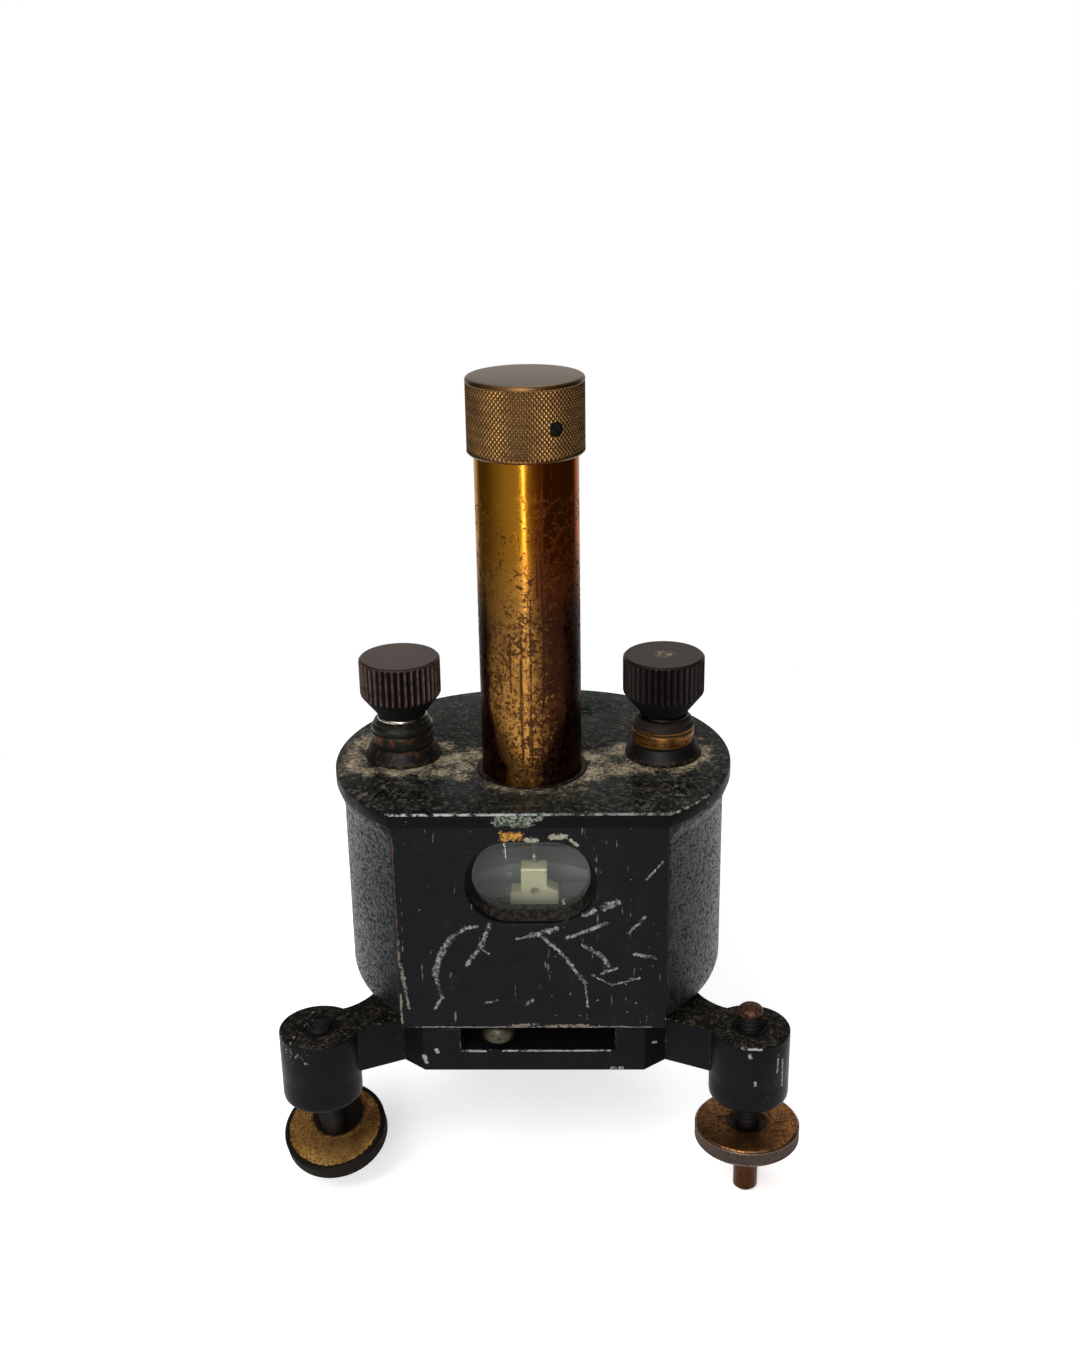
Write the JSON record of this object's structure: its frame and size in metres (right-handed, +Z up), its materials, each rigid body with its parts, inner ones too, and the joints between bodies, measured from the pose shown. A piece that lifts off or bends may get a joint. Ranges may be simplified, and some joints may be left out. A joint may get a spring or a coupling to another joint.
{
  "type": "reflecting galvanometer",
  "caption": "Suspended moving-coil mirror galvanometer: windowed case on a tripod base with levelling screws, tall suspension tube with torsion head, screw terminals and a coil clamp lever.",
  "frame": {"origin": "on the table plane, under the suspension axis, at the height of the three screw tips", "axes": "+Z up along the suspension tube, -Y out of the front window, +X to the right seen from the front"},
  "size_m": [0.1364, 0.114, 0.2118],
  "materials": {
    "base_paint": "worn satin black",
    "case_paint": "cast crackle black",
    "plate_paint": "worn satin black",
    "cover_paint": "scratched semi-gloss black",
    "bezel_paint": "semi-gloss black",
    "tube_brass": "tarnished lacquered brass",
    "cap_bronze": "knurled bronzed brass",
    "steel": "plain steel",
    "magnet_steel": "dull hardened steel",
    "soft_iron": "turned soft iron",
    "inner_brass": "plain turned brass",
    "window": "clear glass",
    "mirror": "silvered glass",
    "ebonite": "dull hard rubber",
    "ivory": "ivory casein",
    "strip_bronze": "drawn phosphor bronze",
    "aluminium": "plain aluminium",
    "copper": "wound copper wire",
    "lever_metal": "worn nickel plate",
    "post_dark": "tarnished brass",
    "post_bright": "lacquered brass",
    "ring_metal": "bright worn brass",
    "head_brown": "dark brown bronzed brass",
    "head_dark": "near-black bronzed brass",
    "screw_brass": "mottled tarnished brass"
  },
  "bodies": {
    "base": {"base_casting": "base_paint", "base_cover": "inner_brass", "base_cover_screws": "steel", "case_screws": "steel", "body_case": "case_paint", "top_plate": "plate_paint", "top_plate_screws": "plate_paint", "front_cover": "cover_paint", "window_bezel": "bezel_paint", "window_glass": "window", "glass_frame": "inner_brass", "suspension_tube": "tube_brass", "tube_bush": "ebonite", "magnet": "magnet_steel", "magnet_screws": "steel", "pole_piece_left": "soft_iron", "pole_piece_right": "soft_iron", "iron_core": "soft_iron", "core_bracket": "inner_brass", "bracket_screws": "steel", "lower_ligament": "strip_bronze", "ligament_post": "inner_brass", "terminal_post_left": "post_dark", "terminal_post_right": "post_bright", "terminal_insulator_left": "ebonite", "terminal_insulator_right": "ebonite", "terminal_nuts": "inner_brass", "terminal_underwashers": "ebonite", "lead_wire_left": "copper", "lead_wire_right": "copper"},
    "torsion_head": {"torsion_cap": "cap_bronze", "cap_set_screw": "steel", "torsion_spindle": "inner_brass", "suspension_strip": "strip_bronze"},
    "moving_coil": {"strip_ferrule": "strip_bronze", "mirror_holder": "ivory", "mirror": "mirror", "coil_former": "aluminium", "coil_winding": "copper"},
    "clamp_lever": {"clamp_lever": "lever_metal", "lever_knob": "lever_metal"},
    "clamp_plunger": {"clamp_plunger": "inner_brass"},
    "clamp_ring_left": {"clamp_ring_left": "ring_metal"},
    "terminal_head_left": {"terminal_head_left": "head_brown"},
    "clamp_ring_right": {"clamp_ring_right": "ring_metal"},
    "terminal_head_right": {"terminal_head_right": "head_dark"},
    "levelling_stem_left": {"levelling_stem_left": "screw_brass"},
    "levelling_foot_left": {"levelling_foot_left": "screw_brass", "levelling_disc_left": "screw_brass"},
    "levelling_stem_right": {"levelling_stem_right": "screw_brass"},
    "levelling_disc_right": {"levelling_disc_right": "screw_brass"},
    "levelling_stem_rear": {"levelling_stem_rear": "screw_brass"},
    "levelling_disc_rear": {"levelling_disc_rear": "screw_brass"}
  },
  "joints": [
    {"name": "torsion_head_turn", "type": "hinge", "parent": "base", "child": "torsion_head", "pos_m": [0, 0, 0.2], "axis": [0, 0, 1], "range_deg": [-180, 180]},
    {"name": "coil_swing", "type": "hinge", "parent": "base", "child": "moving_coil", "pos_m": [0, 0, 0.063], "axis": [0, 0, 1], "range_deg": [-8, 8], "stiffness_Nm_per_rad": 0.00002},
    {"name": "clamp_lever_turn", "type": "hinge", "parent": "base", "child": "clamp_lever", "pos_m": [0, 0, 0.0457], "axis": [0, 0, 1], "range_deg": [0, 45]},
    {"name": "clamp_plunger_slide", "type": "slide", "parent": "base", "child": "clamp_plunger", "axis": [0, 0, 1], "range_m": [-0.0013, 0]},
    {"name": "clamp_ring_left_slide", "type": "slide", "parent": "base", "child": "clamp_ring_left", "axis": [0, 0, 1], "range_m": [0, 0.00405]},
    {"name": "terminal_head_left_turn", "type": "hinge", "parent": "clamp_ring_left", "child": "terminal_head_left", "pos_m": [-0.0339, 0.0076, 0.13], "axis": [0, 0, 1], "range_deg": [0, 1803]},
    {"name": "clamp_ring_right_slide", "type": "slide", "parent": "base", "child": "clamp_ring_right", "axis": [0, 0, 1], "range_m": [0, 0.00405]},
    {"name": "terminal_head_right_turn", "type": "hinge", "parent": "clamp_ring_right", "child": "terminal_head_right", "pos_m": [0.0339, 0.0076, 0.13], "axis": [0, 0, 1], "range_deg": [0, 1803]},
    {"name": "levelling_left_rise", "type": "slide", "parent": "base", "child": "levelling_stem_left", "axis": [0, 0, 1], "range_m": [-0.00381, 0]},
    {"name": "levelling_left_turn", "type": "hinge", "parent": "levelling_stem_left", "child": "levelling_foot_left", "pos_m": [-0.05529, -0.02578, 0.0183], "axis": [0, 0, 1], "range_deg": [-1083, 0]},
    {"name": "levelling_right_rise", "type": "slide", "parent": "base", "child": "levelling_stem_right", "axis": [0, 0, 1], "range_m": [-0.00762, 0.00762]},
    {"name": "levelling_right_turn", "type": "hinge", "parent": "levelling_stem_right", "child": "levelling_disc_right", "pos_m": [0.05529, -0.02578, 0.0183], "axis": [0, 0, 1], "range_deg": [-2163, 2163]},
    {"name": "levelling_rear_rise", "type": "slide", "parent": "base", "child": "levelling_stem_rear", "axis": [0, 0, 1], "range_m": [-0.00762, 0.00762]},
    {"name": "levelling_rear_turn", "type": "hinge", "parent": "levelling_stem_rear", "child": "levelling_disc_rear", "pos_m": [0, 0.061, 0.0183], "axis": [0, 0, 1], "range_deg": [-2163, 2163]}
  ],
  "couplings": [
    {"joint": "clamp_plunger_slide", "follows": "clamp_lever_turn", "m_per_rad": -0.0015279},
    {"joint": "terminal_head_left_turn", "follows": "clamp_ring_left_slide", "rad_per_m": 7757},
    {"joint": "terminal_head_right_turn", "follows": "clamp_ring_right_slide", "rad_per_m": 7757},
    {"joint": "levelling_left_turn", "follows": "levelling_left_rise", "rad_per_m": 4947.4},
    {"joint": "levelling_right_turn", "follows": "levelling_right_rise", "rad_per_m": 4947.4},
    {"joint": "levelling_rear_turn", "follows": "levelling_rear_rise", "rad_per_m": 4947.4}
  ]
}
